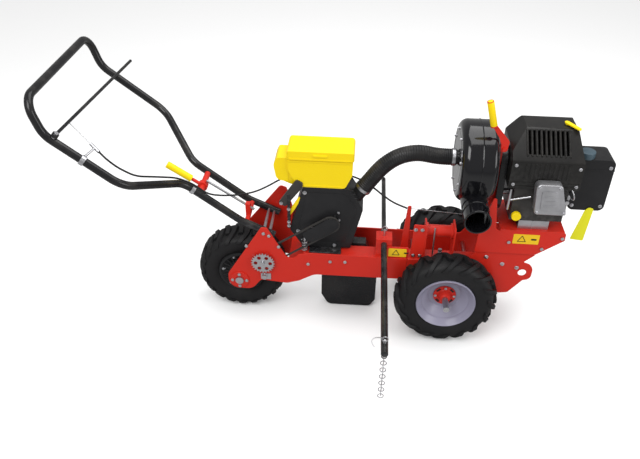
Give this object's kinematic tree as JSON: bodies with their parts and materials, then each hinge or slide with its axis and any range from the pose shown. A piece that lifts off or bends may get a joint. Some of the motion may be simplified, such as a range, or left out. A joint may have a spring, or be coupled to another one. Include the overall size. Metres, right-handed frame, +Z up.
{
  "type": "walk-behind vacuum seeder",
  "caption": "Self-propelled walk-behind single-row vacuum seeder: red frame, lugged tyres, fan and engine at the front, seed hopper, opener shoe and loop handlebar behind, side row marker.",
  "frame": {"origin": "on the ground, on the machine's centre line, below the front axle", "axes": "+X forward, from the handlebar to the engine; +Y to the machine's left; +Z up"},
  "size_m": [2.085, 1.143, 1.0809],
  "materials": {
    "red_paint": "gloss",
    "black_paint": "gloss",
    "zinc": "satin",
    "tyre_rubber": "matte",
    "rim_grey": "satin",
    "yellow_plastic": "gloss",
    "black_plastic": "satin",
    "gloss_black": "gloss",
    "engine_alloy": "cast",
    "engine_cover": "satin",
    "hose_rubber": "satin",
    "cable_rubber": "matte"
  },
  "bodies": {
    "chassis": {"side_plate_right": "red_paint", "side_plate_left": "red_paint", "main_beam": "red_paint", "front_plate_right": "red_paint", "front_plate_left": "red_paint", "cradle_plates": "red_paint", "frame_spacers": "zinc", "frame_bolts": "zinc", "rear_bearings": "red_paint", "axle_gearbox": "red_paint", "tube_brackets": "red_paint", "drive_tube": "red_paint", "drive_chains": "zinc", "chain_tensioner": "zinc", "seed_housing": "black_plastic", "seed_cover": "black_plastic", "seed_bracket": "black_paint", "opener_guard": "black_paint", "hopper": "yellow_plastic", "suction_hose": "hose_rubber", "hose_clips": "zinc", "fan_casing": "gloss_black", "fan_outlet": "gloss_black", "fan_back_plate": "black_paint", "engine_plate": "red_paint", "fan_post": "red_paint", "belt_guard": "black_paint", "drive_belt": "hose_rubber", "engine_block": "engine_alloy", "engine_shroud": "engine_cover", "valve_cover": "engine_alloy", "air_box": "black_plastic", "carburettor": "engine_alloy", "oil_cap": "yellow_plastic", "handlebar": "black_paint", "handle_braces": "red_paint", "cable_clamps": "zinc", "clutch_cable": "cable_rubber", "marker_clamp": "red_paint", "marker_tube": "black_paint"},
    "front_wheels": {"front_tyres": "tyre_rubber", "front_rims": "rim_grey", "front_hubs": "red_paint", "front_axle": "zinc"},
    "rear_wheel": {"rear_tyre": "tyre_rubber", "rear_wheel_disc": "black_paint", "rear_axle": "zinc"},
    "ratio_shaft": {"ratio_sprocket": "zinc"},
    "metering": {"seed_disc": "zinc"},
    "fan": {"fan_rotor": "black_plastic"},
    "crankshaft": {"engine_pulley": "zinc"},
    "lid": {"hopper_lid": "yellow_plastic"},
    "choke": {"choke_lever": "yellow_plastic"},
    "bail": {"bail_lever": "black_paint"},
    "wire": {"bail_wire": "zinc"},
    "steering_lever": {"drive_lever": "yellow_plastic"},
    "rod": {"push_rod": "zinc"},
    "clutch": {"clutch_lever": "red_paint"},
    "marker_arm": {"marker_rod": "black_paint"},
    "chain": {"marker_chain": "zinc"}
  },
  "joints": [
    {"name": "front_wheels_spin", "type": "hinge", "parent": "chassis", "child": "front_wheels", "pos_m": [0, 0, 0.2075], "axis": [0, 1, 0], "continuous": true},
    {"name": "rear_wheel_spin", "type": "hinge", "parent": "chassis", "child": "rear_wheel", "pos_m": [-0.85, 0, 0.186], "axis": [0, 1, 0], "continuous": true},
    {"name": "ratio_shaft_spin", "type": "hinge", "parent": "chassis", "child": "ratio_shaft", "pos_m": [-0.747, 0, 0.29], "axis": [0, 1, 0], "continuous": true},
    {"name": "metering_spin", "type": "hinge", "parent": "chassis", "child": "metering", "pos_m": [-0.475, 0, 0.48], "axis": [0, 1, 0], "continuous": true},
    {"name": "fan_spin", "type": "hinge", "parent": "chassis", "child": "fan", "pos_m": [0.06, 0, 0.759], "axis": [1, 0, 0], "continuous": true},
    {"name": "crankshaft_spin", "type": "hinge", "parent": "chassis", "child": "crankshaft", "pos_m": [0.165, 0, 0.62], "axis": [1, 0, 0], "continuous": true},
    {"name": "lid_hinge", "type": "hinge", "parent": "chassis", "child": "lid", "pos_m": [-0.521, 0.069, 0.7504], "axis": [-1, 0, 0], "range_deg": [0, 100]},
    {"name": "choke_swing", "type": "hinge", "parent": "chassis", "child": "choke", "pos_m": [0.386, 0.034, 0.9], "axis": [0, 0, 1], "range_deg": [-25, 25]},
    {"name": "bail_pull", "type": "hinge", "parent": "chassis", "child": "bail", "pos_m": [-1.40825, -0.303, 0.94095], "axis": [0.6168, 0, 0.7871], "range_deg": [-12, 3]},
    {"name": "bail_wire_slide", "type": "slide", "parent": "chassis", "child": "wire", "axis": [0.7622, -0.4512, -0.4643], "range_m": [-0.008, 0.026]},
    {"name": "drive_lever_swing", "type": "hinge", "parent": "chassis", "child": "steering_lever", "pos_m": [-0.99, 0, 0.59073], "axis": [0, 1, 0], "range_deg": [-10, 25]},
    {"name": "push_rod_slide", "type": "slide", "parent": "chassis", "child": "rod", "axis": [0.8291, 0, -0.5591], "range_m": [-0.007, 0.014]},
    {"name": "clutch_lever_swing", "type": "hinge", "parent": "chassis", "child": "clutch", "pos_m": [0.146, -0.079, 0.846], "axis": [0, 1, 0], "range_deg": [0, 10]},
    {"name": "marker_slide", "type": "slide", "parent": "chassis", "child": "marker_arm", "axis": [0, 1, 0], "range_m": [-0.1, 0.2]},
    {"name": "chain_swing", "type": "hinge", "parent": "chassis", "child": "chain", "pos_m": [-0.258, -0.687, 0.3642], "axis": [1, 0, 0], "range_deg": [-45, 45]}
  ],
  "couplings": [
    {"joint": "ratio_shaft_spin", "follows": "rear_wheel_spin", "ratio": 1.2},
    {"joint": "metering_spin", "follows": "rear_wheel_spin", "ratio": 1.2},
    {"joint": "crankshaft_spin", "follows": "fan_spin", "ratio": 0.7},
    {"joint": "bail_wire_slide", "follows": "bail_pull", "m_per_rad": -0.113},
    {"joint": "push_rod_slide", "follows": "drive_lever_swing", "m_per_rad": 0.028}
  ]
}
